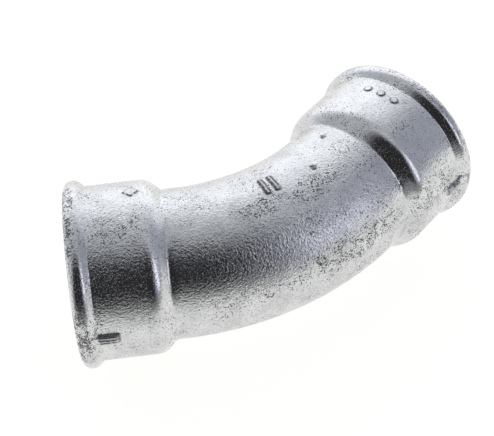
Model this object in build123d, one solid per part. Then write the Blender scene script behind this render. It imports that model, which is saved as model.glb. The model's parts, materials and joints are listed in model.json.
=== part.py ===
from build123d import *

import os
from math import cos, radians, sin, tan

# A 45 degree long-sweep pipe elbow with a beaded, internally threaded socket at each end.
#
# The elbow is one iron casting. It is divided here at its two natural section changes, where the
# straight ends meet the curved tube, into three tubes that touch face to face:
#
#     inlet_socket   bead, threaded socket, shoulder and the straight stub behind it
#     bend_body      the curved tube between the two stubs
#     outlet_socket  the same as the inlet socket, at the other end
#
# The origin is the centre of the inlet's end face. The inlet's axis runs along +X into the elbow,
# the bend turns towards +Y, and Z is square to the plane of the bend, so that the casting's mould
# joint is the plane Z = 0. Every "x" below is a distance from a socket's own end face.

# Overall, in millimetres and degrees.
centre_to_face = 81.0  # from each end face to the crossing of the two axes
bend_angle = 45.0
bend_radius = 98.0  # of the tube's centreline

# Tube.
tube_outer = 58.6
tube_bore = 51.0

# Socket: the wide, straight end that takes the thread.
socket_outer = 68.0
socket_x = 32.0  # where the shoulder starts to fall
shoulder_x = 36.8  # where the shoulder meets the tube
shoulder_round = 6.5
shoulder_root = 1.4

# Bead: the rounded rim round each mouth.
bead_outer = 73.0
bead_x = 5.3  # where the crest ends
bead_foot_x = 8.0  # where the bead meets the socket
bead_round = 2.9
bead_root = 0.7

# Thread: a two-inch parallel pipe thread, whose tapping bore is modelled as a plain wall.
thread_crest = 56.656  # minor diameter, which the wall has
thread_root = 59.614  # major diameter
mouth_relief = 0.5  # how far the mouth's chamfer opens past the thread's root, on the diameter
thread_x = 28.5  # the end of the thread
bore_x = 33.5  # where the bore has narrowed to the tube's

# Lugs: a short rib behind the bead on each side, along the mould joint.
lug_start_x = 4.0
lug_end_x = 15.8
lug_width = 5.0
lug_height = 1.5  # above the socket
lug_sink = 1.5  # into the socket's wall
lug_round = 0.7

# Foundry marks: low raised shapes on the upper side.
mark_height = 0.5
mark_sink = 3.0  # how far under the skin's crown each mark's stock starts
diamond_side = 4.4
diamond_x = 25.7
diamond_tilt = 14.0  # turned about the socket's axis, towards the inside of the bend
bar_length = 8.4
bar_width = 1.7
bar_pitch = 4.0
bar_count = 2
dot_diameter = 3.2
dot_pitch = 6.2
dot_count = 3
dot_x = 14.5

# Worked out from the above.
leg_length = centre_to_face - bend_radius * tan(radians(bend_angle / 2))  # to the curve's start
bend_axis = Axis((leg_length, bend_radius, 0), (0, 0, 1))
outlet_direction = Vector(cos(radians(bend_angle)), sin(radians(bend_angle)), 0)
outlet_centre = Vector(centre_to_face, 0, 0) + outlet_direction * centre_to_face
outlet_place = Location(outlet_centre, (0, 0, bend_angle + 180))


def corner(x, diameter, rounding=0.0):
    """One corner of a turned outline: its point, and the radius that rounds it."""
    return (x, diameter / 2), rounding


def turned(corners):
    """A solid of revolution about the X axis, from a closed outline of corners."""
    points, roundings = zip(*corners)
    outline = make_face(FilletPolyline(*points, radius=list(roundings), close=True))
    return revolve(outline, Axis.X, 360)


def socket_shell():
    """Bead, socket, shoulder and stub, bored through, with the end face at X = 0."""
    mouth = thread_root + mouth_relief
    chamfer_x = (mouth - thread_crest) / 2
    return turned(
        [
            corner(0, mouth),
            corner(0, bead_outer, bead_round),
            corner(bead_x, bead_outer, bead_round),
            corner(bead_foot_x, socket_outer, bead_root),
            corner(socket_x, socket_outer, shoulder_round),
            corner(shoulder_x, tube_outer, shoulder_root),
            corner(leg_length, tube_outer),
            corner(leg_length, tube_bore),
            corner(bore_x, tube_bore),
            corner(thread_x, thread_crest),
            corner(chamfer_x, thread_crest),
        ]
    )


def lug():
    """A rib on the mould joint, on the +Y side of a socket."""
    depth = lug_height + lug_sink
    rib = Box(lug_end_x - lug_start_x, depth, lug_width)
    rib = fillet(rib.edges().filter_by(Axis.Y) + rib.edges().group_by(Axis.Y)[-1], lug_round)
    crown_y = socket_outer / 2 + lug_height
    return Pos((lug_start_x + lug_end_x) / 2, crown_y - depth / 2, 0) * rib


def plain_socket():
    """A socket with a lug on each side."""
    return socket_shell() + lug() + mirror(lug(), Plane.XZ)


def socket_skin():
    """The solid that a socket's marks are cut to: the socket, grown by the marks' height."""
    along_x = (Align.CENTER, Align.CENTER, Align.MIN)
    return Rot(0, 90, 0) * Cylinder(socket_outer / 2 + mark_height, socket_x, align=along_x)


def raised(outline, crown, skin):
    """A mark: the outline pushed up from under a skin's crown, and cut to the skin."""
    return extrude(Pos(0, 0, crown - mark_sink) * outline, amount=crown) & skin


def inlet_socket():
    """The inlet's socket, with a raised diamond near its shoulder."""
    outline = Pos(diamond_x, 0) * Rot(0, 0, 45) * Rectangle(diamond_side, diamond_side)
    diamond = raised(outline, socket_outer / 2, socket_skin())
    return plain_socket() + Rot(-diamond_tilt, 0, 0) * diamond


def outlet_socket():
    """The outlet's socket, with a row of raised dots set across its axis."""
    socket = plain_socket()
    for spot in GridLocations(0, dot_pitch, 1, dot_count):
        outline = Pos(dot_x, 0) * spot * Circle(dot_diameter / 2)
        socket += raised(outline, socket_outer / 2, socket_skin())
    return outlet_place * socket


def swept(diameter):
    """A round bar that follows the bend's centreline."""
    section = Plane.YZ.offset(leg_length) * Circle(diameter / 2)
    return revolve(section, bend_axis, bend_angle)


def bend_body():
    """The curved tube, with raised bars set across it at the middle of the bend."""
    tube = swept(tube_outer) - swept(tube_bore)
    # The bars are cut at the start of the leg, with the skin turned back, then turned into place.
    skin = swept(tube_outer + 2 * mark_height).rotate(bend_axis, -bend_angle / 2)
    for spot in GridLocations(bar_pitch, 0, bar_count, 1):
        outline = Pos(leg_length, 0) * spot * Rectangle(bar_width, bar_length)
        bar = raised(outline, tube_outer / 2, skin)
        tube += bar.rotate(bend_axis, bend_angle / 2)
    return tube


def main():
    """Writes each node's STEP file."""
    os.makedirs("parts", exist_ok=True)
    nodes = {
        "inlet_socket": inlet_socket(),
        "bend_body": bend_body(),
        "outlet_socket": outlet_socket(),
    }
    for name, solid in nodes.items():
        export_step(solid, f"parts/{name}.step")


main()
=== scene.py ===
"""Finishes the 45 degree pipe elbow: its cast skin, cut threads, zinc coat, floor, lights and camera.

The elbow is one casting, so its whole wall is grown as one closed skin: a Geometry Nodes tree turns
the wall's section about the bent centreline, then gives it lugs, foundry marks and the unevenness of
a sand casting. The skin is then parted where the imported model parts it, one piece for each node.

A place on the skin is given by its station, the distance along the centreline from the inlet's end
face, and by its turn, the angle about the centreline from the inside of the bend towards the top.
"""

import json
import logging
import math
from dataclasses import dataclass
from enum import Enum
from typing import Sequence

import bpy
import numpy as np
from mathutils import Matrix, Vector


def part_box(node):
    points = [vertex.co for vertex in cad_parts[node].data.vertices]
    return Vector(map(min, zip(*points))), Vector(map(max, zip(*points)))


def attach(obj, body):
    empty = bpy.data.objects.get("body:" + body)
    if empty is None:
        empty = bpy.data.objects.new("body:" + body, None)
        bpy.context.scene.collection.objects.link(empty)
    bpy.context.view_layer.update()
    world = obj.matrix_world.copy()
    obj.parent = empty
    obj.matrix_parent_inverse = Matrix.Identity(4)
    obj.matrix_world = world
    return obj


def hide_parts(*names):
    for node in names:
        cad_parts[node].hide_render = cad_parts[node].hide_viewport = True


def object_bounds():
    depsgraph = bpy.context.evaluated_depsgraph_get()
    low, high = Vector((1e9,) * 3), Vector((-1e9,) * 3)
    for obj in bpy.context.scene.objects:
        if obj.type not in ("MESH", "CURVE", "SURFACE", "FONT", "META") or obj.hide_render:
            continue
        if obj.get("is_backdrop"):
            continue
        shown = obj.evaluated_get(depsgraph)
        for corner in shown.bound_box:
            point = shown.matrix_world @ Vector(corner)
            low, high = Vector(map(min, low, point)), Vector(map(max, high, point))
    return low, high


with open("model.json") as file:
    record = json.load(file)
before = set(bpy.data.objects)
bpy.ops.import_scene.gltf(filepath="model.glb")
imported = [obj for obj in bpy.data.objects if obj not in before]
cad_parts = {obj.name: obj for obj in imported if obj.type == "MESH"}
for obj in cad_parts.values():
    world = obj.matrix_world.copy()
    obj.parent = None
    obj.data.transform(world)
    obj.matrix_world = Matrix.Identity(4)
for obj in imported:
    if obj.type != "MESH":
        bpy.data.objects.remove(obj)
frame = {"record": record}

MM = 0.001
BODY = "root"

log = logging.getLogger("elbow")


# Node trees, written as arithmetic


class Field:
    """A value inside a node tree. Arithmetic on it adds the nodes that do the same."""

    def __init__(self, graph: "Graph", socket: bpy.types.NodeSocket) -> None:
        """Keeps the tree and the socket that the value comes out of."""
        self.graph = graph
        self.socket = socket

    def __add__(self, other: "Value") -> "Field":
        """Adds."""
        return self.graph.math("ADD", self, other)

    def __sub__(self, other: "Value") -> "Field":
        """Subtracts."""
        return self.graph.math("SUBTRACT", self, other)

    def __rsub__(self, other: "Value") -> "Field":
        """Subtracts from a number."""
        return self.graph.math("SUBTRACT", other, self)

    def __mul__(self, other: "Value") -> "Field":
        """Multiplies."""
        return self.graph.math("MULTIPLY", self, other)

    def __truediv__(self, other: "Value") -> "Field":
        """Divides."""
        return self.graph.math("DIVIDE", self, other)

    __radd__ = __add__
    __rmul__ = __mul__

    def size(self) -> "Field":
        """The value without its sign."""
        return self.graph.math("ABSOLUTE", self)

    def sine(self) -> "Field":
        """The sine of an angle."""
        return self.graph.math("SINE", self)

    def smallest(self, other: "Value") -> "Field":
        """The lower of two values."""
        return self.graph.math("MINIMUM", self, other)

    def largest(self, other: "Value") -> "Field":
        """The higher of two values."""
        return self.graph.math("MAXIMUM", self, other)

    def ramp(self, start: "Value", end: "Value") -> "Field":
        """A smooth rise from 0 to 1.

        Args:
            start: Where the rise starts, which may be above the end for a fall.
            end: Where it ends.

        Returns:
            The risen value.
        """
        node = self.graph.node("ShaderNodeMapRange", interpolation_type="SMOOTHSTEP")
        self.graph.feed(node, {0: self, 1: start, 2: end})
        return Field(self.graph, node.outputs[0])


Value = Field | float | int


class Graph:
    """A node tree under construction."""

    def __init__(self, tree: bpy.types.NodeTree) -> None:
        """Keeps the tree."""
        self.tree = tree

    def node(self, kind: str, inputs: dict | None = None, **settings: object) -> bpy.types.Node:
        """Adds a node.

        Args:
            kind: Blender's name for it.
            inputs: What its sockets take, by name or number.
            settings: Its own options.

        Returns:
            The node.
        """
        made = self.tree.nodes.new(kind)
        for name, value in settings.items():
            setattr(made, name, value)
        self.feed(made, inputs or {})
        return made

    def feed(self, node: bpy.types.Node, inputs: dict) -> None:
        """Links or sets a node's sockets.

        Args:
            node: The node.
            inputs: A Field, a socket or a constant for each socket, by name or number.
        """
        for key, value in inputs.items():
            value = value.socket if isinstance(value, Field) else value
            if isinstance(value, bpy.types.NodeSocket):
                self.tree.links.new(value, node.inputs[key])
            else:
                node.inputs[key].default_value = value

    def out(self, node: bpy.types.Node, output: str | int = 0) -> Field:
        """One output of a node as a Field."""
        return Field(self, node.outputs[output])

    def math(self, operation: str, *values: Value) -> Field:
        """The result of one Math node."""
        return self.out(self.node("ShaderNodeMath", dict(enumerate(values)), operation=operation))

    def vector(self, x: Value, y: Value, z: Value) -> Field:
        """A vector from its three parts."""
        return self.out(self.node("ShaderNodeCombineXYZ", {0: x, 1: y, 2: z}))

    def parts(self, vector: Field) -> tuple[Field, Field, Field]:
        """The three parts of a vector."""
        node = self.node("ShaderNodeSeparateXYZ", {0: vector})
        return self.out(node, 0), self.out(node, 1), self.out(node, 2)

    def noise(self, place: Field, grain: float, detail: float = 2.0, harshness: float = 0.5) -> Field:
        """Cloudy noise between 0 and 1.

        Args:
            place: Where it is read, in metres.
            grain: The size of its lumps, in metres.
            detail: How many finer layers it has.
            harshness: How strong each finer layer is.

        Returns:
            The noise.
        """
        inputs = {"Vector": place, "Scale": 1 / grain, "Detail": detail, "Roughness": harshness}
        return self.out(self.node("ShaderNodeTexNoise", inputs), 0)


# The shape


@dataclass(frozen=True)
class Bend:
    """The centreline: a straight leg, an arc and a straight leg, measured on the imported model."""

    leg: float
    radius: float
    angle: float

    @classmethod
    def of_frame(cls) -> "Bend":
        """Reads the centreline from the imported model.

        Returns:
            The bend.
        """
        outlet = next(m for m in frame["record"]["mounts"] if m["name"] == "outlet_face")
        angle = math.atan2(outlet["axis"][1], outlet["axis"][0])
        centre_to_face = outlet["pos_m"][1] / math.sin(angle)
        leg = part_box("inlet_socket")[1].x
        return cls(leg, (centre_to_face - leg) / math.tan(angle / 2), angle)

    @property
    def length(self) -> float:
        """The whole centreline, face to face."""
        return 2 * self.leg + self.radius * self.angle


@dataclass(frozen=True)
class Corner:
    """A corner of the wall's section, and how the wall runs from there to the next one.

    Its cast is 1 where the skin is as the mould left it, and 0 where it was cut.
    """

    station: float
    radius: float
    rounding: float = 0.0
    cast: float = 1.0
    step: float = 0.5 * MM


@dataclass(frozen=True)
class Station:
    """One row of the skin, and the part of a thread's turn that it takes, if any."""

    place: float
    radius: float
    cast: float
    lead: float = 0.0
    low: float = 0.0
    high: float = 0.0


@dataclass(frozen=True)
class PipeThread:
    """A parallel pipe thread, cut into a socket's mouth after the casting was coated."""

    crest: float
    pitch: float = 2.309 * MM
    depth: float = 1.479 * MM
    length: float = 28.5 * MM
    runout: float = 3.0 * MM
    mouth_relief: float = 0.25 * MM
    # One pitch of the thread, as (share of the pitch, share of the depth).
    crest_form: tuple = ((-0.06, 0), (0.06, 0), (0.13, 0.12))
    root_form: tuple = ((0.37, 0.88), (0.44, 1), (0.56, 1), (0.63, 0.88), (0.87, 0.12))

    @property
    def mouth(self) -> float:
        """The radius of the mouth's chamfer at the end face."""
        return self.crest + self.depth + self.mouth_relief

    def rows(self, low: float, high: float) -> list[Station]:
        """The rows that make the thread, from its high station down to its low one.

        Each row climbs one pitch in one turn and is held between the two ends, so that it meets the
        row one pitch above it where the turn closes.

        Args:
            low: The lower end's station.
            high: The higher end's station.

        Returns:
            The rows.
        """
        turns = math.ceil((high - low) / self.pitch) + 2
        rows = []
        for turn in range(turns):
            for share, depth in self.crest_form + self.root_form:
                place = high - (turn + share) * self.pitch
                rows.append(Station(place, self.crest + depth * self.depth, 0.0, self.pitch, low, high))
        return rows


@dataclass(frozen=True)
class Section:
    """The wall's section, from which the skin's rows are worked out."""

    bend: Bend
    thread: PipeThread
    bead: float
    tube: float
    socket: float = 34.0 * MM
    bore: float = 25.5 * MM
    bead_end: float = 5.3 * MM
    bead_foot: float = 8.0 * MM
    socket_end: float = 32.0 * MM
    shoulder_end: float = 36.8 * MM
    bore_end: float = 33.5 * MM
    bead_round: float = 3.3 * MM
    bead_root: float = 0.7 * MM
    shoulder_round: float = 6.5 * MM
    shoulder_root: float = 2.2 * MM
    bore_round: float = 1.0 * MM
    bore_step: float = 1.5 * MM
    mark_zone: float = 8.0 * MM
    arc_step: float = math.radians(11)
    face_cast: float = 0.3
    throat_cast: float = 0.4

    @classmethod
    def of_frame(cls, bend: Bend) -> "Section":
        """Reads the section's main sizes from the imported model.

        Args:
            bend: The centreline.

        Returns:
            The section.
        """
        mounts = {m["name"]: m for m in frame["record"]["mounts"]}
        thread = PipeThread(mounts["inlet_thread"]["dims"]["r_mm"] * MM)
        return cls(bend, thread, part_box("inlet_socket")[1].z, -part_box("bend_body")[0].z)

    def outside(self) -> list[Corner]:
        """The outer corners of one end, from its mouth to the tube."""
        return [
            Corner(0, self.thread.mouth, cast=self.face_cast, step=0.8 * MM),
            Corner(0, self.bead, self.bead_round),
            Corner(self.bead_end, self.bead, self.bead_round, step=0.3 * MM),
            Corner(self.bead_foot, self.socket, self.bead_root, step=0.35 * MM),
            Corner(self.socket_end, self.socket, self.shoulder_round, step=0.4 * MM),
            Corner(self.shoulder_end, self.tube, self.shoulder_root),
            Corner(self.bend.leg, self.tube),
            Corner(self.bend.length / 2 - self.mark_zone, self.tube, step=0.3 * MM),
        ]

    def mirrored(self, corners: Sequence[Corner]) -> list[Corner]:
        """The same corners at the outlet's end, in the opposite order.

        Args:
            corners: The inlet's corners.

        Returns:
            The outlet's corners.
        """
        turned = []
        for i in range(len(corners) - 1, -1, -1):
            corner, ahead = corners[i], corners[max(i - 1, 0)]
            station = self.bend.length - corner.station
            turned.append(Corner(station, corner.radius, corner.rounding, ahead.cast, ahead.step))
        return turned

    def rows(self) -> list[Station]:
        """Every row of the skin, out along the outside and back along the bore.

        Returns:
            The rows, the last of which meets the first.
        """
        far, leg, thread_end = self.bend.length, self.bend.leg, self.thread.length
        outer = self.outside() + self.mirrored(self.outside())
        bore = [
            Corner(far - thread_end, self.thread.crest, 0, self.throat_cast, self.bore_step),
            Corner(far - self.bore_end, self.bore, self.bore_round, step=self.bore_step),
            Corner(far - leg, self.bore, step=self.bore_step),
            Corner(leg, self.bore, step=self.bore_step),
            Corner(self.bore_end, self.bore, self.bore_round, self.throat_cast, self.bore_step),
            Corner(thread_end, self.thread.crest),
        ]
        rows = self.walk(outer)
        rows += self.thread.rows(far - thread_end, far)
        rows += self.walk(bore)
        rows += self.thread.rows(0, thread_end)
        return rows + rows[:1]

    def walk(self, corners: Sequence[Corner]) -> list[Station]:
        """Rows along an open run of corners, each rounded as it says.

        Args:
            corners: The run.

        Returns:
            The rows.
        """
        last = len(corners) - 1
        arcs = [
            self.arc(corner, corners[max(i - 1, 0)], corners[min(i + 1, last)])
            for i, corner in enumerate(corners)
        ]
        rows = []
        for i, corner in enumerate(corners):
            rows += [Station(x, r, corner.cast) for x, r in arcs[i]]
            if i < last:
                start, end = Vector(arcs[i][-1]), Vector(arcs[i + 1][0])
                count = max(1, round((end - start).length / corner.step))
                for k in range(1, count):
                    x, r = start.lerp(end, k / count)
                    rows.append(Station(x, r, corner.cast))
        return rows

    def arc(self, corner: Corner, before: Corner, after: Corner) -> list[tuple[float, float]]:
        """The points of one corner's rounding.

        Args:
            corner: The corner.
            before: The corner before it, or itself at the start of a run.
            after: The corner after it, or itself at the end of a run.

        Returns:
            Points as (station, radius), or the corner alone where nothing rounds it.
        """
        point = Vector((corner.station, corner.radius))
        back = Vector((before.station, before.radius)) - point
        ahead = Vector((after.station, after.radius)) - point
        if not corner.rounding or not back.length or not ahead.length:
            return [tuple(point)]
        back.normalize()
        ahead.normalize()
        half = back.angle(ahead) / 2
        middle = point + (back + ahead).normalized() * corner.rounding / math.sin(half)
        first = point + back * corner.rounding / math.tan(half) - middle
        last = point + ahead * corner.rounding / math.tan(half) - middle
        sweep = math.pi - 2 * half
        count = max(2, math.ceil(sweep / self.arc_step))
        places = []
        for k in range(count + 1):
            share = sweep * k / count
            turned = (first * math.sin(sweep - share) + last * math.sin(share)) / math.sin(sweep)
            places.append(tuple(middle + turned))
        return places


class Outline(Enum):
    """The plan of something raised on the skin, or sunk into it."""

    BAR = "bar"
    DOT = "dot"
    DIAMOND = "diamond"


@dataclass(frozen=True)
class Spot:
    """A place on the skin, as Fields. Its reach is its distance from the centreline."""

    station: Field
    turn: Field
    reach: Field


class Placed:
    """Whatever stands at a station and a turn of its own on the skin."""

    station: float
    turn: float

    def offsets(self, spot: Spot) -> tuple[Field, Field]:
        """How far a spot is from the middle of this, along the centreline and across it."""
        # Twice the sine of half the angle is an arc's chord, and has no jump where the turn closes.
        half_turn = ((spot.turn - self.turn) * 0.5).sine()
        return spot.station - self.station, half_turn * spot.reach * 2


@dataclass(frozen=True)
class Boss(Placed):
    """A low shape on the skin: a lug, a foundry mark, or a nick where its height is negative."""

    outline: Outline
    station: float
    turn: float
    along: float
    across: float
    height: float
    soft: float = 0.45 * MM
    # How dark the foot of a raised shape, or the whole of a sunk one, is painted: dirt and painted shade.
    grime_and_shade: float = 1.0

    def share(self, spot: Spot, soft: float) -> Field:
        """How far the shape has risen at a spot.

        Args:
            spot: The spot.
            soft: How wide the rise is.

        Returns:
            0 off the shape, 1 on its flat top.
        """
        out_along, out_across = (offset.size() for offset in self.offsets(spot))
        if self.outline is Outline.BAR:
            ends = (self.along - out_along).ramp(-soft, soft)
            return ends * (self.across - out_across).ramp(-soft / 2, soft / 2)
        if self.outline is Outline.DOT:
            spread = spot.reach.graph.math("SQRT", out_along * out_along + out_across * out_across)
        else:
            spread = out_along + out_across
        return (self.along - spread).ramp(-soft / 2, soft / 2)


@dataclass(frozen=True)
class WornPatch(Placed):
    """An oval stretch of skin that is more pitted than the rest."""

    station: float
    turn: float
    along: float
    across: float
    depth: float
    plateau: float = 0.25

    def share(self, spot: Spot) -> Field:
        """How pitted the patch makes a spot, from its middle out.

        Args:
            spot: The spot.

        Returns:
            The patch's depth at its middle, and 0 outside it.
        """
        out_along, out_across = self.offsets(spot)
        out_along, out_across = out_along / self.along, out_across / self.across
        spread = out_along * out_along + out_across * out_across
        return spread.ramp(1.0, self.plateau) * self.depth


@dataclass(frozen=True)
class Casting:
    """How the sand mould and the coat left the skin, and what is raised on it."""

    bend: Bend
    section: Section
    columns: int = 400
    gathering: float = 0.42
    swell: float = 0.14 * MM
    swell_grain: float = 20 * MM
    ripple: float = 0.05 * MM
    ripple_grain: float = 3.6 * MM
    seam: float = 0.12 * MM
    seam_width: float = 0.9 * MM
    seam_break: float = 5 * MM
    lug_rise: float = 1.5 * MM
    mark_rise: float = 0.5 * MM
    # How wide the dark colour round each shape spreads, and the grain of the patches it is broken into:
    # dirt and painted shade.
    darkening_width: float = 1.0 * MM
    darkening_grain: float = 0.9 * MM
    raggedness: float = 4.0 * MM
    ragged_grain: float = 1.3 * MM
    sharp_angle: float = math.radians(33)
    sharp_cast: float = 0.35
    weld: float = 0.002 * MM
    seed: float = 4.0

    def lugs(self) -> list[Boss]:
        """A lug on each side of each socket, behind the bead."""
        start, end, width = 4.0 * MM, 15.8 * MM, 4.4 * MM
        middle, half = (start + end) / 2, (end - start) / 2
        return [
            # Each lug is painted dark in a ring round its foot: dirt and painted shade along its shadowed
            # edges.
            Boss(Outline.BAR, s, turn, half, width / 2, self.lug_rise, soft=1.2 * MM, grime_and_shade=0.9)
            for s in (middle, self.bend.length - middle)
            for turn in (0.0, math.pi)
        ]

    def marks(self) -> list[Boss]:
        """The plain foundry marks on the upper side: a diamond, a pair of bars and a row of dots."""
        top, far = math.pi / 2, self.bend.length
        # Each mark is painted dark in a ring round its foot, the clear ones more than the dots: dirt and
        # painted shade.
        clear, faint = dict(height=self.mark_rise, grime_and_shade=1.4), dict(height=self.mark_rise, grime_and_shade=1.2)
        diamond_turn, half = top - math.radians(14), 3.11 * MM
        diamond = Boss(Outline.DIAMOND, 25.7 * MM, diamond_turn, half, half, **clear)
        bars = [
            Boss(Outline.BAR, far / 2 + side * 2.0 * MM, top, 0.85 * MM, 4.2 * MM, **clear)
            for side in (-1, 1)
        ]
        pitch, radius = math.asin(6.2 * MM / self.section.socket), 1.6 * MM
        dots = [
            Boss(Outline.DOT, far - 14.5 * MM, top + k * pitch, radius, radius, **faint)
            for k in (-1, 0, 1)
        ]
        return [diamond, *bars, *dots]

    def nicks(self) -> list[Boss]:
        """What is sunk into the skin.

        Returns:
            Grooves along the outer lugs, a hollow in the outlet's, two knocks in the inlet's bead, and
            two sand holes on the bend.
        """
        from_face, far = 11.4 * MM, self.bend.length
        # Every nick is painted dark all over: dirt and painted shade.
        groove = dict(along=3.6 * MM, across=0.30 * MM, height=-0.35 * MM, soft=0.5 * MM)
        knock, hole = dict(soft=0.8 * MM, grime_and_shade=1.3), dict(soft=0.9 * MM, grime_and_shade=1.3)
        grooves = [
            Boss(Outline.BAR, s, math.radians(turn), **groove)
            for s in (from_face, far - from_face)
            for turn in (176.8, 179.0, 181.4)
        ]
        # The hollow in the outlet's lug is painted dark all over: painted shade for the lug's shadowed
        # side.
        hollow_at = far - 11.0 * MM, math.radians(178)
        return grooves + [
            Boss(Outline.BAR, *hollow_at, 2.6 * MM, 1.0 * MM, -0.3 * MM, **hole),
            Boss(Outline.BAR, 2.3 * MM, math.radians(180), 0.5 * MM, 0.8 * MM, -0.35 * MM, **knock),
            Boss(Outline.BAR, 3.0 * MM, math.radians(176), 0.4 * MM, 0.6 * MM, -0.30 * MM, **knock),
            Boss(Outline.DOT, 98.0 * MM, math.radians(95), 1.4 * MM, 1.4 * MM, -0.22 * MM, **hole),
            Boss(Outline.DIAMOND, 114.5 * MM, math.radians(75), 1.6 * MM, 1.6 * MM, -0.20 * MM, **hole),
        ]

    def worn_patches(self) -> list[WornPatch]:
        """Where the skin is most pitted."""
        far = self.bend.length
        return [
            WornPatch(1.5 * MM, math.radians(95), 4.0 * MM, 28 * MM, 1.1),
            WornPatch(2.5 * MM, math.radians(180), 5.0 * MM, 20 * MM, 1.2),
            WornPatch(20.0 * MM, math.radians(108), 15.0 * MM, 9.0 * MM, 0.8),
            WornPatch(73.0 * MM, math.radians(106), 15.0 * MM, 5.5 * MM, 0.9),
            WornPatch(94.0 * MM, math.radians(108), 16.0 * MM, 7.0 * MM, 0.9),
            WornPatch(64.0 * MM, math.radians(170), 22.0 * MM, 5.0 * MM, 0.7),
            WornPatch(96.0 * MM, math.radians(166), 26.0 * MM, 8.5 * MM, 0.95),
            WornPatch(119.0 * MM, math.radians(146), 6.0 * MM, 6.0 * MM, 0.8),
            WornPatch(far - 24.0 * MM, math.radians(168), 16.0 * MM, 10.0 * MM, 0.8),
            WornPatch(far - 1.5 * MM, math.radians(120), 4.5 * MM, 40 * MM, 1.1),
        ]

    def rows_mesh(self, rows: Sequence[Station]) -> bpy.types.Mesh:
        """Writes the rows as a mesh of loose points, which the tree reads.

        Args:
            rows: The skin's rows.

        Returns:
            Points at (place, radius, cast), with each row's thread as the attribute "helix".
        """
        mesh = bpy.data.meshes.new("section_rows")
        mesh.from_pydata([(row.place, row.radius, row.cast) for row in rows], [], [])
        helix = mesh.attributes.new("helix", "FLOAT_VECTOR", "POINT")
        fixed = [(r.lead, r.low, r.high) if r.lead else (0.0, r.place, r.place) for r in rows]
        helix.data.foreach_set("vector", np.ravel(fixed))
        return mesh

    def tree(self, rows: int, coat: bpy.types.Material, cut: bpy.types.Material) -> bpy.types.NodeTree:
        """Builds the tree that turns the rows about the centreline and gives the skin its relief.

        Args:
            rows: How many rows there are.
            coat: The finish of the cast skin.
            cut: The finish of the threads.

        Returns:
            The tree, with its sizes as named inputs.
        """
        tree = bpy.data.node_groups.new("cast_skin", "GeometryNodeTree")
        graph = Graph(tree)
        tree.interface.new_socket("Geometry", in_out="OUTPUT", socket_type="NodeSocketGeometry")
        tree.interface.new_socket("Geometry", in_out="INPUT", socket_type="NodeSocketGeometry")
        for name in self.inputs():
            tree.interface.new_socket(name, in_out="INPUT", socket_type="NodeSocketFloat")
        source = graph.node("NodeGroupInput")
        size = {name: graph.out(source, name) for name in self.inputs()}

        stride = self.columns + 1
        grid = graph.node("GeometryNodeMeshGrid", {"Vertices X": rows, "Vertices Y": stride})
        index = graph.out(graph.node("GeometryNodeInputIndex"))
        row = graph.math("FLOOR", index / stride)
        # The columns stand closer together at the four quarters, where the lugs and the marks are.
        even = (index - row * stride) / self.columns
        gathered = (even * (4 * math.tau)).sine() * (self.gathering / (4 * math.tau))
        turned = even - gathered
        place, radius, cast = graph.parts(self.sampled(graph, source, row, "GeometryNodeInputPosition", {}))
        helix = self.sampled(graph, source, row, "GeometryNodeInputNamedAttribute", {"Name": "helix"})
        lead, low, high = graph.parts(helix)
        station = (place + lead * turned).largest(low).smallest(high)
        from_end = station.smallest(size["Length"] - station)
        held = ((size["Thread length"] - from_end) / size["Thread runout"]).smallest(1).largest(0)
        thread = (radius - size["Crest radius"]) * held + size["Crest radius"]
        thread = thread.largest(size["Mouth radius"] - from_end)
        is_thread = graph.math("GREATER_THAN", lead, 0)
        reach = radius + (thread - radius) * is_thread
        # The last column stands on the first, so it has the same turn, not a full one.
        turn = turned * math.tau * graph.math("LESS_THAN", even, 1 - 0.5 / self.columns)

        surface = graph.out(grid)
        stored = {"station": station, "reach": reach, "turn": turn, "cast": cast, "thread": is_thread}
        for name, value in stored.items():
            surface = self.stored(graph, surface, name, value)
        surface = self.placed(graph, surface, size)
        weld = {"Geometry": surface, "Distance": self.weld}
        surface = graph.out(graph.node("GeometryNodeMergeByDistance", weld))
        surface = graph.out(graph.node("GeometryNodeFlipFaces", {0: surface}))
        surface = self.relieved(graph, surface, size)
        surface = self.shaded(graph, surface)
        surface = graph.out(graph.node("GeometryNodeRealizeInstances", {0: surface}))
        surface = graph.out(graph.node("GeometryNodeSetMaterial", {"Geometry": surface, "Material": coat}))
        chosen = graph.math("GREATER_THAN", self.named(graph, "thread"), 0.5)
        cut_faces = {"Geometry": surface, "Selection": chosen, "Material": cut}
        surface = graph.out(graph.node("GeometryNodeSetMaterial", cut_faces))
        graph.node("NodeGroupOutput", {0: surface})
        return tree

    def inputs(self) -> dict[str, float]:
        """The tree's named inputs and their values."""
        thread = self.section.thread
        return {
            "Leg": self.bend.leg,
            "Bend radius": self.bend.radius,
            "Bend angle": self.bend.angle,
            "Length": self.bend.length,
            "Thread length": thread.length,
            "Thread runout": thread.runout,
            "Crest radius": thread.crest,
            "Mouth radius": thread.mouth,
            "Swell": self.swell,
            "Ripple": self.ripple,
            "Seam": self.seam,
            "Seed": self.seed,
        }

    def sampled(self, graph: Graph, source: bpy.types.Node, row: Field, kind: str, inputs: dict) -> Field:
        """A vector read from one of the rows.

        Args:
            graph: The tree.
            source: The tree's input node, which gives the rows.
            row: The row's number.
            kind: The node that reads the vector.
            inputs: What that node takes.

        Returns:
            The vector.
        """
        settings = {"data_type": "FLOAT_VECTOR"} if inputs else {}
        value = graph.out(graph.node(kind, inputs, **settings))
        node = graph.node("GeometryNodeSampleIndex", data_type="FLOAT_VECTOR", domain="POINT")
        graph.feed(node, {"Geometry": graph.out(source, "Geometry"), "Value": value, "Index": row})
        return graph.out(node)

    def stored(self, graph: Graph, surface: Field, name: str, value: Field) -> Field:
        """The surface with a value kept on its points under a name."""
        node = graph.node("GeometryNodeStoreNamedAttribute", data_type="FLOAT", domain="POINT")
        graph.feed(node, {"Geometry": surface, "Name": name, "Value": value})
        return graph.out(node)

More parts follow.
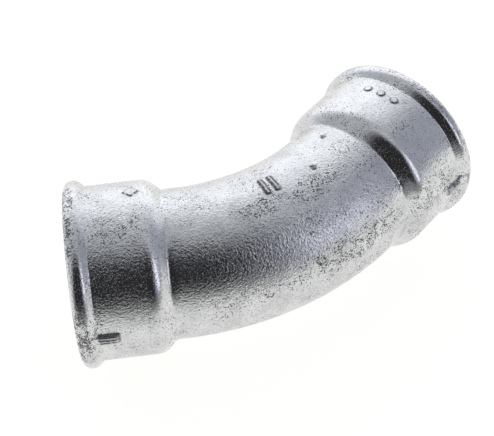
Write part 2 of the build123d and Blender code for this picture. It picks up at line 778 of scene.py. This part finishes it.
    def named(self, graph: Graph, name: str) -> Field:
        """A value kept on the points under a name."""
        return graph.out(graph.node("GeometryNodeInputNamedAttribute", {"Name": name}, data_type="FLOAT"))

    def placed(self, graph: Graph, surface: Field, size: dict[str, Field]) -> Field:
        """Moves each point from the grid to its station, turn and reach about the centreline.

        Args:
            graph: The tree.
            surface: The grid.
            size: The tree's inputs.

        Returns:
            The turned wall.
        """
        station, turn, reach = (self.named(graph, n) for n in ("station", "turn", "reach"))
        angle = ((station - size["Leg"]) / size["Bend radius"]).largest(0).smallest(size["Bend angle"])
        ahead = station - size["Leg"] - angle * size["Bend radius"]
        inward = reach * graph.math("COSINE", turn) - size["Bend radius"]
        arm = graph.vector(ahead, inward, reach * turn.sine())
        swing = {"Vector": arm, "Angle": angle}
        swung = graph.node("ShaderNodeVectorRotate", swing, rotation_type="Z_AXIS")
        pivot = graph.vector(size["Leg"], size["Bend radius"], 0)
        place = graph.node("ShaderNodeVectorMath", {0: graph.out(swung), 1: pivot}, operation="ADD")
        moved = {"Geometry": surface, "Position": graph.out(place)}
        return graph.out(graph.node("GeometryNodeSetPosition", moved))

    def relieved(self, graph: Graph, surface: Field, size: dict[str, Field]) -> Field:
        """Raises the skin along its normals by its lugs, marks, nicks, mould seam and unevenness.

        Args:
            graph: The tree.
            surface: The turned wall.
            size: The tree's inputs.

        Returns:
            The finished shape, with attributes for how dark each place is painted at the foot of what is
            raised and inside what is sunk, which is dirt and painted shade,
            "pitted" where the skin is pitted, and "grainy" where the sand's grain shows.
        """
        names = "station", "turn", "reach", "cast"
        station, turn, reach, cast = (self.named(graph, n) for n in names)
        here = graph.out(graph.node("GeometryNodeInputPosition"))
        shifted = graph.node("ShaderNodeVectorMath", {0: here, 1: size["Seed"]}, operation="ADD")
        place = graph.out(shifted)
        outer = graph.math("GREATER_THAN", reach, (self.section.tube + self.section.bore) / 2)
        outer = outer * (1 - self.named(graph, "thread"))
        swell = (graph.noise(place, self.swell_grain, 1) - 0.5) * size["Swell"]
        ripple = (graph.noise(place, self.ripple_grain, 1) - 0.5) * size["Ripple"]
        broken = graph.noise(place, self.seam_break, 2).ramp(0.35, 0.6)
        off_seam = (turn.sine() * reach).size()
        seam = off_seam.ramp(self.seam_width / 2, 0) * size["Seam"] * broken * outer
        height = (swell + ripple + seam) * cast
        # Whatever is sunk into the skin has a ragged edge, and nothing raised stands above a lug.
        rag = (graph.noise(place, self.ragged_grain, 1) - 0.5) * self.raggedness
        spot, ragged = Spot(station, turn, reach), Spot(station + rag, turn, reach)
        room = (self.section.socket + self.lug_rise - reach).largest(0)
        # Dark colour is painted in patches, in a ring at the foot of whatever is raised and all over
        # whatever is sunk: dirt and painted shade.
        darkening_patches = graph.noise(place, self.darkening_grain, 2).ramp(0.25, 0.55)
        grime_and_shade = broken * 0
        for boss in [*self.lugs(), *self.marks(), *self.nicks()]:
            raised = boss.height > 0
            at = spot if raised else ragged
            share = boss.share(at, boss.soft) * outer
            height = height + share * (room.smallest(boss.height) if raised else boss.height)
            darkening = boss.share(at, self.darkening_width) * outer
            darkening = darkening * (1 - darkening) * 4 if raised else darkening
            grime_and_shade = grime_and_shade.largest(darkening * darkening_patches * boss.grime_and_shade)
        pitted = broken * 0
        for patch in self.worn_patches():
            pitted = pitted.largest(patch.share(spot) * outer)
        kept = {"grime_and_shade": grime_and_shade, "pitted": pitted, "grainy": self.graininess(station, size)}
        for name, value in kept.items():
            surface = self.stored(graph, surface, name, value)
        normal = graph.out(graph.node("GeometryNodeInputNormal"))
        offset = graph.node("ShaderNodeVectorMath", {0: normal, "Scale": height}, operation="SCALE")
        moved = {"Geometry": surface, "Offset": graph.out(offset)}
        return graph.out(graph.node("GeometryNodeSetPosition", moved))

    def graininess(self, station: Field, size: dict[str, Field]) -> Field:
        """How strongly the sand's grain shows: less at the outlet, and least where the zinc pooled.

        Args:
            station: A place's station.
            size: The tree's inputs.

        Returns:
            1 where the grain is full, down to a tenth or so.
        """
        from_end = station.smallest(size["Length"] - station)
        towards_inlet = station.ramp(size["Length"] * 0.80, size["Length"] * 0.62) * 0.55 + 0.45
        off_bead = from_end.ramp(6.5 * MM, 9.5 * MM) * 0.5 + 0.5
        shoulder = from_end.ramp(27.5 * MM, 30.5 * MM) * from_end.ramp(40.5 * MM, 37.5 * MM)
        return towards_inlet * off_bead * (1 - shoulder * 0.65)

    def shaded(self, graph: Graph, surface: Field) -> Field:
        """Smooths the skin, and keeps the edges of what was cut after casting sharp.

        Args:
            graph: The tree.
            surface: The finished shape.

        Returns:
            The same, with its shading set.
        """
        smooth = graph.out(graph.node("GeometryNodeSetShadeSmooth", {0: surface, "Shade Smooth": True}))
        angle = graph.out(graph.node("GeometryNodeInputMeshEdgeAngle"), "Unsigned Angle")
        folded = graph.math("GREATER_THAN", angle, self.sharp_angle)
        was_cut = graph.math("LESS_THAN", self.named(graph, "cast"), self.sharp_cast)
        node = graph.node("GeometryNodeSetShadeSmooth", domain="EDGE")
        graph.feed(node, {0: smooth, "Selection": folded * was_cut, "Shade Smooth": False})
        return graph.out(node)

    def grow(self, coat: bpy.types.Material, cut: bpy.types.Material) -> bpy.types.Mesh:
        """Runs the tree and takes its result as a plain mesh.

        Args:
            coat: The finish of the cast skin.
            cut: The finish of the threads.

        Returns:
            The whole wall as one closed mesh.
        """
        rows = self.section.rows()
        holder = bpy.data.objects.new("cast_skin", self.rows_mesh(rows))
        bpy.context.scene.collection.objects.link(holder)
        modifier = holder.modifiers.new("cast_skin", "NODES")
        modifier.node_group = self.tree(len(rows), coat, cut)
        for item in modifier.node_group.interface.items_tree:
            if item.in_out == "INPUT" and item.name in self.inputs():
                modifier[item.identifier] = self.inputs()[item.name]
        graph = bpy.context.evaluated_depsgraph_get()
        mesh = bpy.data.meshes.new_from_object(holder.evaluated_get(graph))
        bpy.data.objects.remove(holder)
        log.info("cast skin: %d rows, %d faces", len(rows), len(mesh.polygons))
        return mesh


class Skin:
    """The whole wall's mesh as arrays, so that it can be parted without a visible seam."""

    SLACK = 0.01 * MM
    POINT_VALUES = ("station", "turn", "reach", "cast", "grime_and_shade", "pitted", "grainy")
    KEPT_VALUES = ("cast", "grime_and_shade", "pitted", "grainy")

    def __init__(self, mesh: bpy.types.Mesh, bend: Bend, section: Section) -> None:
        """Reads the mesh's points, faces, normals and point values."""
        self.bend = bend
        self.mid_wall = (section.tube + section.bore) / 2
        self.places = self.read(mesh.vertices, "co", 3)
        self.normals = self.read(mesh.corner_normals, "vector", 3)
        self.corners = self.read(mesh.loops, "vertex_index", 1, int)
        self.starts = self.read(mesh.polygons, "loop_start", 1, int)
        self.counts = self.read(mesh.polygons, "loop_total", 1, int)
        self.materials = [material for material in mesh.materials if material]
        unused = len(mesh.materials) - len(self.materials)
        self.finish = self.read(mesh.polygons, "material_index", 1, int) - unused
        self.values = {n: self.read(mesh.attributes[n].data, "value", 1) for n in self.POINT_VALUES}

    @staticmethod
    def read(items: Sequence, name: str, width: int, kind: type = float) -> np.ndarray:
        """One value of every item in a collection.

        Args:
            items: The collection.
            name: The value's name.
            width: How many numbers it has.
            kind: Whether they are whole.

        Returns:
            One row for each item, or one number where the value has one.
        """
        flat = np.zeros(len(items) * width, np.int32 if kind is int else np.float32)
        items.foreach_get(name, flat)
        return flat.reshape(-1, width) if width > 1 else flat

    def ring(self, station: float, outer: bool) -> np.ndarray:
        """The points round one wall where the skin is parted.

        Args:
            station: Where it is parted.
            outer: Whether the outside's points are wanted, and not the bore's.

        Returns:
            Their numbers, in order of turn.
        """
        here = np.abs(self.values["station"] - station) < self.SLACK
        found = np.flatnonzero(here & ((self.values["reach"] > self.mid_wall) == outer))
        return found[np.argsort(self.values["turn"][found])]

    def cut_face(self, station: float, forwards: bool) -> tuple[np.ndarray, Vector]:
        """The flat face that closes a piece where the skin is parted.

        Args:
            station: Where it is parted.
            forwards: Whether the face looks along the centreline, and not back.

        Returns:
            Its faces, four points each, and the way it looks.
        """
        outer, bore = self.ring(station, True), self.ring(station, False)
        faces = np.stack([outer, np.roll(outer, -1), np.roll(bore, -1), bore], axis=1)
        angle = min(max((station - self.bend.leg) / self.bend.radius, 0), self.bend.angle)
        along = Vector((math.cos(angle), math.sin(angle), 0))
        return (faces, along) if forwards else (faces[:, ::-1], -along)

    def part(self, name: str, low: float, high: float) -> bpy.types.Object:
        """One closed piece of the skin.

        Args:
            name: The piece's name.
            low: The station that it starts at.
            high: The station that it ends at.

        Returns:
            The piece.
        """
        station = self.values["station"]
        middle = np.add.reduceat(station[self.corners], self.starts) / self.counts
        chosen = (middle > low - self.SLACK) & (middle < high + self.SLACK)
        starts, counts = self.starts[chosen], self.counts[chosen]
        first = np.cumsum(counts) - counts
        picked = np.arange(counts.sum()) + np.repeat(starts - first, counts)
        corners, normals = [self.corners[picked]], [self.normals[picked]]
        finish, all_counts = [self.finish[chosen]], [counts]
        for cut, forwards in ((low, False), (high, True)):
            if 0 < cut < self.bend.length:
                faces, looks = self.cut_face(cut, forwards)
                corners.append(faces.ravel())
                normals.append(np.tile(np.array(looks, np.float32), (faces.size, 1)))
                finish.append(np.zeros(len(faces), np.int32))
                all_counts.append(np.full(len(faces), faces.shape[1], np.int32))
        used, corners = np.unique(np.concatenate(corners), return_inverse=True)
        counts = np.concatenate(all_counts)
        mesh = bpy.data.meshes.new(name)
        mesh.vertices.add(len(used))
        mesh.vertices.foreach_set("co", self.places[used].ravel())
        mesh.loops.add(len(corners))
        mesh.loops.foreach_set("vertex_index", corners.astype(np.int32).ravel())
        mesh.polygons.add(len(counts))
        mesh.polygons.foreach_set("loop_start", (np.cumsum(counts) - counts).astype(np.int32))
        for material in self.materials:
            mesh.materials.append(material)
        mesh.polygons.foreach_set("material_index", np.concatenate(finish))
        mesh.update(calc_edges=True)
        for value in self.KEPT_VALUES:
            kept = mesh.attributes.new(value, "FLOAT", "POINT")
            kept.data.foreach_set("value", self.values[value][used])
        mesh.normals_split_custom_set(np.concatenate(normals))
        piece = bpy.data.objects.new(name, mesh)
        bpy.context.scene.collection.objects.link(piece)
        return piece


# The finishes


@dataclass(frozen=True)
class Zinc:
    """Hot-dip zinc over a sand-cast skin."""

    light: tuple = (0.76, 0.765, 0.77)
    dull: tuple = (0.50, 0.505, 0.515)
    # The dark colour painted into the pits, which is dirt, and round and inside the raised and sunk shapes,
    # which is dirt and painted shade.
    dirt_and_shade: tuple = (0.040, 0.040, 0.038)
    smooth: float = 0.08
    rough: float = 0.20
    cloud: float = 9 * MM
    grain: float = 0.9 * MM
    grain_height: float = 0.27 * MM
    sand: float = 0.36 * MM
    sand_height: float = 0.06 * MM
    dirt_and_shade_cover: float = 0.9
    dirt_rough: float = 0.3
    dirt_sink: float = 0.15
    dirt_and_shade_dulling: float = 0.5
    pit: float = 0.62 * MM
    pit_edge: float = 0.67
    pit_spread: float = 0.14
    # The wider pits, as (size in pits, how much rarer, depth).
    wide_pits: tuple = ((1.5, 0.025, 0.9), (3.0, 0.025, 0.6))
    wear_wide: float = 11 * MM
    wear_fine: float = 3.5 * MM

    def material(self) -> bpy.types.Material:
        """Builds the finish.

        Returns:
            The material.
        """
        made, graph, shader = blank_material("galvanised_zinc")
        place = graph.out(graph.node("ShaderNodeTexCoord"), "Object")
        cast, grime_and_shade, pitted, grainy = (
            graph.out(graph.node("ShaderNodeAttribute", attribute_name=name), "Fac")
            for name in ("cast", "grime_and_shade", "pitted", "grainy")
        )
        grain = graph.noise(place, self.grain, 2, 0.6)
        sand = graph.noise(place, self.sand, 1)
        cloud = graph.noise(place, self.cloud, 3)
        pits = self.pits(place, pitted)
        # Dark in the pits, as dirt, and round and inside the raised and sunk shapes, as dirt and painted
        # shade; it fades where the skin was cut.
        dirt_and_shade = pits.largest(grime_and_shade * 0.9).smallest(1) * cast.ramp(0, 0.5)
        tone = cloud.ramp(0.3, 0.7) * 0.4 + grain.ramp(0.3, 0.7) * 0.4 + sand * 0.2
        metal = mixed_colour(tone, self.dull, self.light)
        colour = mixed_colour(dirt_and_shade * self.dirt_and_shade_cover, metal, self.dirt_and_shade)
        roughness = (1 - tone) * (self.rough - self.smooth) + self.smooth + dirt_and_shade * self.dirt_rough
        coarse = {"Distance": self.grain_height, "Height": grain * grainy - dirt_and_shade * self.dirt_sink}
        coarse = graph.out(graph.node("ShaderNodeBump", coarse))
        fine = {"Distance": self.sand_height, "Height": sand * grainy, "Normal": coarse}
        fine = graph.out(graph.node("ShaderNodeBump", fine))
        graph.feed(shader, {"Base Color": colour, "Roughness": roughness, "Normal": fine})
        graph.feed(shader, {"Metallic": 1 - dirt_and_shade * self.dirt_and_shade_dulling})
        return made

    def pits(self, place: Field, pitted: Field) -> Field:
        """Small dark pits of uneven shape, most of them where the skin is pitted.

        Args:
            place: Where they are read.
            pitted: How pitted each place is.

        Returns:
            1 in a pit and 0 on sound metal.
        """
        graph = place.graph
        worn = (graph.noise(place, self.wear_wide, 2).ramp(0.45, 0.65) * 0.6).largest(pitted)
        worn = worn * graph.noise(place, self.wear_fine, 2).ramp(0.25, 0.6)
        edge = self.pit_edge - worn * self.pit_spread
        found = (graph.noise(place, self.pit, 1, 0.6) - edge).ramp(0, 0.04)
        for size, rarer, depth in self.wide_pits:
            wide = graph.noise(place, self.pit * size, 3, 0.65)
            found = found.largest((wide - edge - rarer).ramp(0, 0.05) * depth)
        return found


@dataclass(frozen=True)
class CutIron:
    """Bare iron where the threads were cut, dulled and lightly oiled."""

    bright: tuple = (0.52, 0.51, 0.49)
    dark: tuple = (0.27, 0.26, 0.245)
    cloud: float = 5 * MM
    tool_mark: float = 0.25 * MM
    tool_depth: float = 0.02 * MM

    def material(self) -> bpy.types.Material:
        """Builds the finish.

        Returns:
            The material.
        """
        made, graph, shader = blank_material("cut_iron")
        place = graph.out(graph.node("ShaderNodeTexCoord"), "Object")
        cloud = graph.noise(place, self.cloud, 3)
        fine = graph.noise(place, self.tool_mark, 2)
        tone = cloud.ramp(0.3, 0.7) * 0.7 + fine * 0.3
        colour = mixed_colour(tone, self.dark, self.bright)
        bump = graph.node("ShaderNodeBump", {"Distance": self.tool_depth, "Height": fine})
        graph.feed(shader, {"Base Color": colour, "Roughness": 0.5 - tone * 0.2})
        graph.feed(shader, {"Normal": graph.out(bump), "Metallic": 1.0})
        return made


@dataclass(frozen=True)
class PaleFloor:
    """A sheet of white acrylic, lit from below, which turns dim in front of the elbow."""

    colour: tuple = (0.16, 0.16, 0.157)
    glow: tuple = (1.0, 1.0, 0.975)
    bright: float = 0.93
    dim: float = 0.13
    dim_y: float = -0.27
    bright_y: float = -0.075

    def material(self) -> bpy.types.Material:
        """Builds the finish.

        Returns:
            The material.
        """
        made, graph, shader = blank_material("pale_floor")
        place = graph.out(graph.node("ShaderNodeTexCoord"), "Object")
        share = graph.parts(place)[1].ramp(self.dim_y, self.bright_y)
        lit = share * (self.bright - self.dim) + self.dim
        graph.feed(shader, {"Base Color": (*self.colour, 1), "Roughness": 0.9})
        graph.feed(shader, {"Emission Color": (*self.glow, 1), "Emission Strength": lit})
        return made


def blank_material(name: str) -> tuple[bpy.types.Material, Graph, bpy.types.Node]:
    """A new material with a Principled shader.

    Args:
        name: The material's name.

    Returns:
        The material, its tree and its shader.
    """
    made = bpy.data.materials.new(name)
    made.use_nodes = True
    made.node_tree.nodes.clear()
    graph = Graph(made.node_tree)
    shader = graph.node("ShaderNodeBsdfPrincipled")
    graph.node("ShaderNodeOutputMaterial", {"Surface": shader.outputs[0]})
    return made, graph, shader


def mixed_colour(share: Field, start: object, end: object) -> Field:
    """A colour between two colours.

    Args:
        share: 0 for the first colour and 1 for the second.
        start: The first colour, as a Field or three numbers.
        end: The second colour.

    Returns:
        The colour.
    """
    start, end = ((*c, 1) if isinstance(c, tuple) else c for c in (start, end))
    node = share.graph.node("ShaderNodeMix", data_type="RGBA")
    share.graph.feed(node, {"Factor": share, 6: start, 7: end})
    return share.graph.out(node, 2)


# The studio


@dataclass(frozen=True)
class Studio:
    """A pale floor, lit from below, under a soft dome of light, and the camera."""

    floor_half: float = 3.0
    aim: tuple = (0.0696, 0.0202, 0.0)
    distance: float = 0.5594
    azimuth: float = math.radians(-3.62)
    elevation: float = math.radians(45.16)
    roll: float = math.radians(-4.05)
    lens: float = 102.1
    sensor: float = 36.0
    nearest: float = 0.01
    farthest: float = 50.0

    def build(self) -> None:
        """Makes the floor, the dome of light and the camera."""
        self.lay_floor()
        self.light_dome()
        self.place_camera()

    def lay_floor(self) -> None:
        """Lays the floor under the elbow's beads."""
        half, level = self.floor_half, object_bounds()[0].z
        mesh = bpy.data.meshes.new("floor")
        plan = (-half, -half), (half, -half), (half, half), (-half, half)
        mesh.from_pydata([(x, y, level) for x, y in plan], [], [(0, 1, 2, 3)])
        mesh.materials.append(PaleFloor().material())
        floor = bpy.data.objects.new("floor", mesh)
        bpy.context.scene.collection.objects.link(floor)
        floor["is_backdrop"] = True

    def light_dome(self) -> None:
        """Lights the dome: brightest behind, pale overhead and at the sides, dark in front."""
        world = bpy.data.worlds.new("studio_dome")
        bpy.context.scene.world = world
        world.use_nodes = True
        world.node_tree.nodes.clear()
        graph = Graph(world.node_tree)
        x, y, z = graph.parts(graph.out(graph.node("ShaderNodeTexCoord"), "Generated"))
        overhead = (y + x.size() * 0.3).ramp(-0.50, -0.06)
        right = x.ramp(0.47, 0.64)
        off_window = (graph.math("ARCTAN2", y, x) + 0.55).size()
        window = off_window.ramp(0.22, 0.09) * z.ramp(0.8, 0.4)
        behind = y.ramp(0.25, 0.85)
        colour = (0.030, 0.030, 0.032)
        for share, light in (
            (overhead, (0.58, 0.60, 0.64)),
            (right, (0.42, 0.44, 0.51)),
            (window, (1.30, 1.30, 1.50)),
            (behind, (1.38, 1.41, 1.47)),
        ):
            colour = mixed_colour(share, colour, light)
        shine = graph.node("ShaderNodeBackground", {"Color": colour, "Strength": 1.0})
        graph.node("ShaderNodeOutputWorld", {"Surface": shine.outputs[0]})

    def place_camera(self) -> None:
        """Stands the camera in front of the elbow, above it and slightly tilted."""
        lens = bpy.data.cameras.new("camera")
        lens.lens = self.lens
        lens.sensor_width = self.sensor
        lens.clip_start, lens.clip_end = self.nearest, self.farthest
        camera = bpy.data.objects.new("camera", lens)
        level = math.cos(self.elevation)
        forward_x, forward_y = math.sin(self.azimuth) * level, math.cos(self.azimuth) * level
        back = Vector((forward_x, -forward_y, math.sin(self.elevation)))
        turn = back.to_track_quat("Z", "Y").to_matrix().to_4x4() @ Matrix.Rotation(self.roll, 4, "Z")
        camera.matrix_world = Matrix.Translation(Vector(self.aim) + back * self.distance) @ turn
        bpy.context.scene.collection.objects.link(camera)
        bpy.context.scene.camera = camera


class Elbow:
    """The whole elbow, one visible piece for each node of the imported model."""

    def __init__(self) -> None:
        """Reads the elbow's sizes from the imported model."""
        self.bend = Bend.of_frame()
        self.section = Section.of_frame(self.bend)

    def build(self) -> None:
        """Grows the skin, parts it, and puts each piece in its node's place."""
        mesh = Casting(self.bend, self.section).grow(Zinc().material(), CutIron().material())
        skin = Skin(mesh, self.bend, self.section)
        leg, far = self.bend.leg, self.bend.length
        spans = {
            "inlet_socket": (0, leg),
            "bend_body": (leg, far - leg),
            "outlet_socket": (far - leg, far),
        }
        for node, (low, high) in spans.items():
            piece = skin.part(f"{node}_casting", low, high)
            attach(piece, BODY)
            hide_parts(node)
            log.info("%s: %d faces", piece.name, len(piece.data.polygons))
        bpy.data.meshes.remove(mesh)


def main() -> None:
    """Builds the elbow and the studio."""
    logging.basicConfig(level=logging.INFO, format="%(name)s: %(message)s")
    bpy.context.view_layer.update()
    Elbow().build()
    Studio().build()
    bpy.context.scene.view_settings.view_transform = "Standard"


if __name__ == "__main__":
    main()
